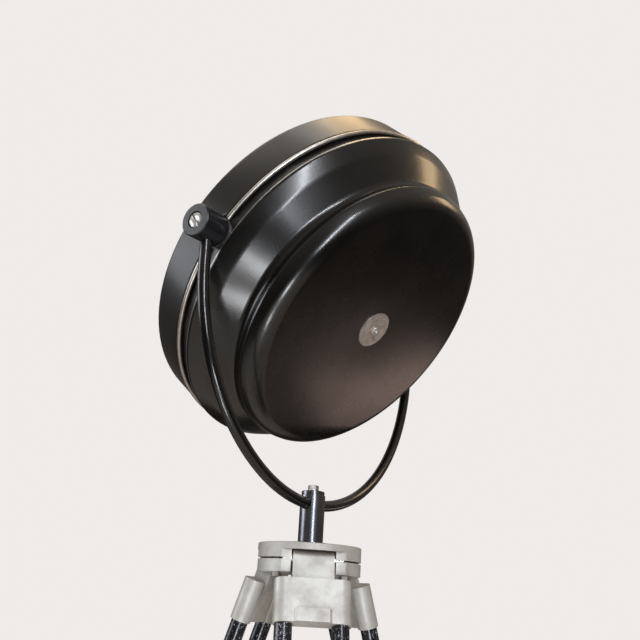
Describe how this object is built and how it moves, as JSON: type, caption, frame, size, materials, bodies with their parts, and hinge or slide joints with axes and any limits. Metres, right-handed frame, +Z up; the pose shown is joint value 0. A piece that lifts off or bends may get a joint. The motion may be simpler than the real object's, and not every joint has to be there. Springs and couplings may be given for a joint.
{
  "type": "tripod floor lamp",
  "caption": "Large spun lamp head tilting in a round bar yoke, on a short mast fixed to a three-legged stand with paired tubes and sliding lower legs.",
  "frame": {"origin": "on the floor, under the mast axis", "axes": "+Z up the mast; +X along the yoke pivot axis at rest (yoke leaning 3 degrees); the light leaves towards -Y and up"},
  "size_m": [0.7845, 0.7494, 1.7436],
  "materials": {
    "satin_black_lacquer": "satin black lacquer on spun aluminium",
    "bare_bead": "half-round trim, worn bare",
    "carrier_black": "satin black",
    "front_glass": "clear pressed glass",
    "seal_rubber": "matt",
    "spring_steel": "bright spring steel",
    "reflector_sheet": "brightened aluminium",
    "zinc_plate": "bright zinc plate",
    "holder_ceramic": "glazed porcelain",
    "bulb_cap_metal": "nickelled brass",
    "bulb_glass": "frosted",
    "yellow_zinc": "turned, yellow zinc",
    "gland_plastic": "moulded",
    "fibre_washer": "fibre",
    "gloss_black_bar": "gloss black lacquer",
    "boss_black": "satin black",
    "polished_mast": "polished steel",
    "cast_grey": "painted light grey casting",
    "knob_black": "moulded",
    "tube_lacquer": "worn black hammer lacquer",
    "wing_zinc": "zinc plate",
    "lower_tube": "drawn, satin",
    "spike_steel": "hardened"
  },
  "bodies": {
    "tripod_head": {"tripod_plate": "cast_grey", "hinge_caps": "cast_grey", "cap_screws": "zinc_plate", "fixing_washer": "zinc_plate"},
    "centre_fixing": {"centre_screw": "zinc_plate", "centre_knob": "knob_black"},
    "mast": {"mast": "polished_mast", "mast_cap": "polished_mast"},
    "clamp_bolt": {"clamp_bolt": "zinc_plate"},
    "yoke": {"yoke_rod": "gloss_black_bar", "pivot_boss_left": "boss_black", "pivot_boss_right": "boss_black", "pivot_screws": "zinc_plate", "pivot_nuts": "zinc_plate"},
    "head": {"bulb": "bulb_glass", "bulb_cap": "bulb_cap_metal", "cable_gland": "gland_plastic", "carrier_ring": "carrier_black", "friction_washers": "fibre_washer", "front_glass": "front_glass", "front_rim": "satin_black_lacquer", "gland_nut": "gland_plastic", "glass_clips": "spring_steel", "glass_gasket": "seal_rubber", "holder_stem": "zinc_plate", "lampholder": "holder_ceramic", "pivot_bushes": "zinc_plate", "rear_screw": "zinc_plate", "rear_shell": "satin_black_lacquer", "rear_washers": "yellow_zinc", "reflector": "reflector_sheet", "reflector_screws": "zinc_plate", "trim_bead": "bare_bead"},
    "leg_1": {"leg_head_1": "cast_grey", "hinge_pin_1": "zinc_plate", "leg_tubes_1": "tube_lacquer", "lower_clamp_1": "cast_grey"},
    "lower_leg_1": {"lower_leg_1": "lower_tube", "top_guide_1": "cast_grey", "foot_shoe_1": "cast_grey", "foot_spike_1": "spike_steel"},
    "clamp_screw_1": {"clamp_screw_1": "wing_zinc"},
    "leg_2": {"leg_head_2": "cast_grey", "hinge_pin_2": "zinc_plate", "leg_tubes_2": "tube_lacquer", "lower_clamp_2": "cast_grey"},
    "lower_leg_2": {"lower_leg_2": "lower_tube", "top_guide_2": "cast_grey", "foot_shoe_2": "cast_grey", "foot_spike_2": "spike_steel"},
    "clamp_screw_2": {"clamp_screw_2": "wing_zinc"},
    "leg_3": {"leg_head_3": "cast_grey", "hinge_pin_3": "zinc_plate", "leg_tubes_3": "tube_lacquer", "lower_clamp_3": "cast_grey"},
    "lower_leg_3": {"lower_leg_3": "lower_tube", "top_guide_3": "cast_grey", "foot_shoe_3": "cast_grey", "foot_spike_3": "spike_steel"},
    "clamp_screw_3": {"clamp_screw_3": "wing_zinc"}
  },
  "joints": [
    {"name": "mast_pan", "type": "hinge", "parent": "tripod_head", "child": "mast", "pos_m": [0, 0, 1.153], "axis": [0, 0, 1], "continuous": true},
    {"name": "centre_screw_turn", "type": "hinge", "parent": "tripod_head", "child": "centre_fixing", "pos_m": [0, 0, 1.103], "axis": [0, 0, 1], "range_deg": [-360, 0]},
    {"name": "clamp_bolt_turn", "type": "hinge", "parent": "mast", "child": "clamp_bolt", "pos_m": [0, 0, 1.228], "axis": [0, 0, 1], "range_deg": [0, 180]},
    {"name": "yoke_slide", "type": "hinge", "parent": "mast", "child": "yoke", "pos_m": [0, 0, 1.472], "axis": [0, 1, 0], "range_deg": [-33, 27]},
    {"name": "head_tilt", "type": "hinge", "parent": "yoke", "child": "head", "pos_m": [0.00272, 0, 1.52393], "axis": [0.9986, 0, -0.0523], "range_deg": [-48.4, 131.6]},
    {"name": "leg_spread_1", "type": "hinge", "parent": "tripod_head", "child": "leg_1", "pos_m": [0.036, 0.03021, 1.133], "axis": [0.6428, -0.766, 0], "range_deg": [-18.5, 0]},
    {"name": "leg_extend_1", "type": "slide", "parent": "leg_1", "child": "lower_leg_1", "axis": [0.2431, 0.204, -0.9483], "range_m": [-0.28, 0.17]},
    {"name": "clamp_turn_1", "type": "hinge", "parent": "leg_1", "child": "clamp_screw_1", "pos_m": [0.19326, 0.16216, 0.53208], "axis": [0.7265, 0.6096, 0.3173], "range_deg": [0, 270]},
    {"name": "leg_spread_2", "type": "hinge", "parent": "tripod_head", "child": "leg_2", "pos_m": [-0.04417, 0.01607, 1.133], "axis": [0.342, 0.9397, 0], "range_deg": [-18.5, 0]},
    {"name": "leg_extend_2", "type": "slide", "parent": "leg_2", "child": "lower_leg_2", "axis": [-0.2982, 0.1085, -0.9483], "range_m": [-0.28, 0.17]},
    {"name": "clamp_turn_2", "type": "hinge", "parent": "leg_2", "child": "clamp_screw_2", "pos_m": [-0.23707, 0.08629, 0.53208], "axis": [-0.8911, 0.3243, 0.3173], "range_deg": [0, 270]},
    {"name": "leg_spread_3", "type": "hinge", "parent": "tripod_head", "child": "leg_3", "pos_m": [0.00816, -0.04629, 1.133], "axis": [-0.9848, -0.1736, 0], "range_deg": [-18.5, 0]},
    {"name": "leg_extend_3", "type": "slide", "parent": "leg_3", "child": "lower_leg_3", "axis": [0.0551, -0.3125, -0.9483], "range_m": [-0.28, 0.17]},
    {"name": "clamp_turn_3", "type": "hinge", "parent": "leg_3", "child": "clamp_screw_3", "pos_m": [0.04381, -0.24845, 0.53208], "axis": [0.1647, -0.9339, 0.3173], "range_deg": [0, 270]}
  ]
}
